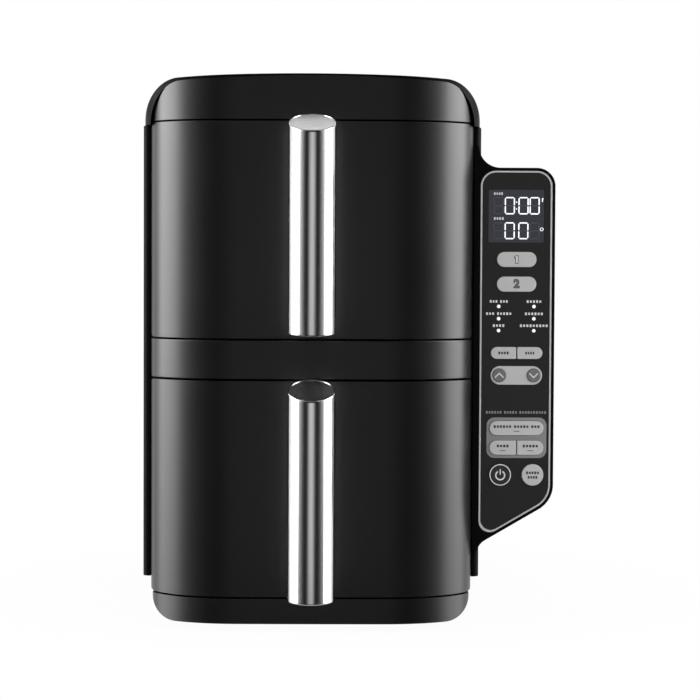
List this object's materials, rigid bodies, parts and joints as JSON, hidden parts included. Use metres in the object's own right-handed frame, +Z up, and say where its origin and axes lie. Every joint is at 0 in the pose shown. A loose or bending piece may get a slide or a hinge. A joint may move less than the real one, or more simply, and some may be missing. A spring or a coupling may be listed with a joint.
{
  "type": "air fryer",
  "caption": "Upright air fryer with stacked pull-out drawers, slanted tube handles and a side control panel with display and push keys.",
  "frame": {"origin": "on the surface it stands on, under the middle of the whole object's box", "axes": "+Z up, +Y from the drawers towards the back, +X towards the control panel's side"},
  "size_m": [0.2892, 0.471, 0.384],
  "materials": {
    "fascia_plastic": "satin moulded black",
    "case_plastic": "semi-gloss moulded black",
    "handle_steel": "brushed lengthways, bright",
    "cap_steel": "fine satin",
    "core_plastic": "satin",
    "nonstick": "dark non-stick coating with fine speckle",
    "steel_sheet": "mill finish",
    "heater_steel": "oxidised sheath",
    "silicone": "matt silicone",
    "rubber_foot": "matt rubber",
    "motor_metal": "zinc plated",
    "board": "green solder mask",
    "overlay_film": "smooth hard-coated film",
    "key_plastic": "satin light grey",
    "lens": "smoked lens",
    "display": "display module",
    "light_pipe": "clear white light pipe",
    "cable": "insulated wire",
    "ceramic_disc": "unglazed",
    "screw_steel": "black zinc"
  },
  "bodies": {
    "housing": {"front_bezel": "fascia_plastic", "top_cover": "case_plastic", "left_side_panel": "case_plastic", "right_side_panel": "case_plastic", "rear_cover": "case_plastic", "base_tray": "case_plastic", "feet": "rubber_foot", "drawer_rails": "steel_sheet", "heat_shield": "steel_sheet", "heaters": "heater_steel", "fan_guards": "steel_sheet", "fan_motors": "motor_metal", "power_board": "board", "control_board": "board", "display_module": "display", "control_housing": "case_plastic", "control_overlay": "overlay_film", "display_lens": "lens", "mode_lights": "light_pipe", "wiring": "cable", "temperature_sensors": "steel_sheet", "thermal_cutouts": "ceramic_disc", "door_switches": "core_plastic", "cord_gland": "rubber_foot", "case_screws": "screw_steel", "upper_cavity": "steel_sheet", "lower_cavity": "steel_sheet"},
    "upper_drawer": {"upper_drawer_front": "fascia_plastic", "upper_drawer_back": "case_plastic", "upper_basket": "nonstick", "upper_handle_grip": "handle_steel", "upper_handle_core": "core_plastic", "upper_handle_caps": "cap_steel", "upper_handle_screws": "screw_steel"},
    "upper_crisper": {"upper_crisper_plate": "nonstick", "upper_crisper_bumpers": "silicone"},
    "upper_rack": {"upper_rack": "nonstick"},
    "upper_fan": {"upper_fan": "steel_sheet"},
    "lower_drawer": {"lower_drawer_front": "fascia_plastic", "lower_drawer_back": "case_plastic", "lower_basket": "nonstick", "lower_handle_grip": "handle_steel", "lower_handle_core": "core_plastic", "lower_handle_caps": "cap_steel", "lower_handle_screws": "screw_steel"},
    "lower_crisper": {"lower_crisper_plate": "nonstick", "lower_crisper_bumpers": "silicone"},
    "lower_rack": {"lower_rack": "nonstick"},
    "lower_fan": {"lower_fan": "steel_sheet"},
    "drawer_1_key": {"drawer_1_key": "key_plastic"},
    "drawer_2_key": {"drawer_2_key": "key_plastic"},
    "temperature_key": {"temperature_key": "key_plastic"},
    "time_key": {"time_key": "key_plastic"},
    "up_key": {"up_key": "key_plastic"},
    "down_key": {"down_key": "key_plastic"},
    "stack_key": {"stack_key": "key_plastic"},
    "sync_key": {"sync_key": "key_plastic"},
    "match_key": {"match_key": "key_plastic"},
    "power_key": {"power_key": "key_plastic"},
    "start_key": {"start_key": "key_plastic"}
  },
  "joints": [
    {"name": "upper_drawer_slide", "type": "slide", "parent": "housing", "child": "upper_drawer", "axis": [0, -1, 0], "range_m": [0, 0.3]},
    {"name": "upper_crisper_lift", "type": "slide", "parent": "upper_drawer", "child": "upper_crisper", "axis": [0, 0, 1], "range_m": [0, 0.055]},
    {"name": "upper_rack_lift", "type": "slide", "parent": "upper_crisper", "child": "upper_rack", "axis": [0, 0, 1], "range_m": [0, 0.048]},
    {"name": "upper_fan_spin", "type": "hinge", "parent": "housing", "child": "upper_fan", "pos_m": [-0.0259, 0.1705, 0.277], "axis": [0, 1, 0], "continuous": true},
    {"name": "lower_drawer_slide", "type": "slide", "parent": "housing", "child": "lower_drawer", "axis": [0, -1, 0], "range_m": [0, 0.3]},
    {"name": "lower_crisper_lift", "type": "slide", "parent": "lower_drawer", "child": "lower_crisper", "axis": [0, 0, 1], "range_m": [0, 0.055]},
    {"name": "lower_rack_lift", "type": "slide", "parent": "lower_crisper", "child": "lower_rack", "axis": [0, 0, 1], "range_m": [0, 0.048]},
    {"name": "lower_fan_spin", "type": "hinge", "parent": "housing", "child": "lower_fan", "pos_m": [-0.0259, 0.1705, 0.099], "axis": [0, 1, 0], "continuous": true},
    {"name": "drawer_1_key_press", "type": "slide", "parent": "housing", "child": "drawer_1_key", "axis": [0, 1, 0], "range_m": [0, 0.0006], "stiffness_N_per_m": 600},
    {"name": "drawer_2_key_press", "type": "slide", "parent": "housing", "child": "drawer_2_key", "axis": [0, 1, 0], "range_m": [0, 0.0006], "stiffness_N_per_m": 600},
    {"name": "temperature_key_press", "type": "slide", "parent": "housing", "child": "temperature_key", "axis": [0, 1, 0], "range_m": [0, 0.0006], "stiffness_N_per_m": 600},
    {"name": "time_key_press", "type": "slide", "parent": "housing", "child": "time_key", "axis": [0, 1, 0], "range_m": [0, 0.0006], "stiffness_N_per_m": 600},
    {"name": "up_key_press", "type": "slide", "parent": "housing", "child": "up_key", "axis": [0, 1, 0], "range_m": [0, 0.0006], "stiffness_N_per_m": 600},
    {"name": "down_key_press", "type": "slide", "parent": "housing", "child": "down_key", "axis": [0, 1, 0], "range_m": [0, 0.0006], "stiffness_N_per_m": 600},
    {"name": "stack_key_press", "type": "slide", "parent": "housing", "child": "stack_key", "axis": [0, 1, 0], "range_m": [0, 0.0006], "stiffness_N_per_m": 600},
    {"name": "sync_key_press", "type": "slide", "parent": "housing", "child": "sync_key", "axis": [0, 1, 0], "range_m": [0, 0.0006], "stiffness_N_per_m": 600},
    {"name": "match_key_press", "type": "slide", "parent": "housing", "child": "match_key", "axis": [0, 1, 0], "range_m": [0, 0.0006], "stiffness_N_per_m": 600},
    {"name": "power_key_press", "type": "slide", "parent": "housing", "child": "power_key", "axis": [0, 1, 0], "range_m": [0, 0.0006], "stiffness_N_per_m": 600},
    {"name": "start_key_press", "type": "slide", "parent": "housing", "child": "start_key", "axis": [0, 1, 0], "range_m": [0, 0.0006], "stiffness_N_per_m": 600}
  ]
}
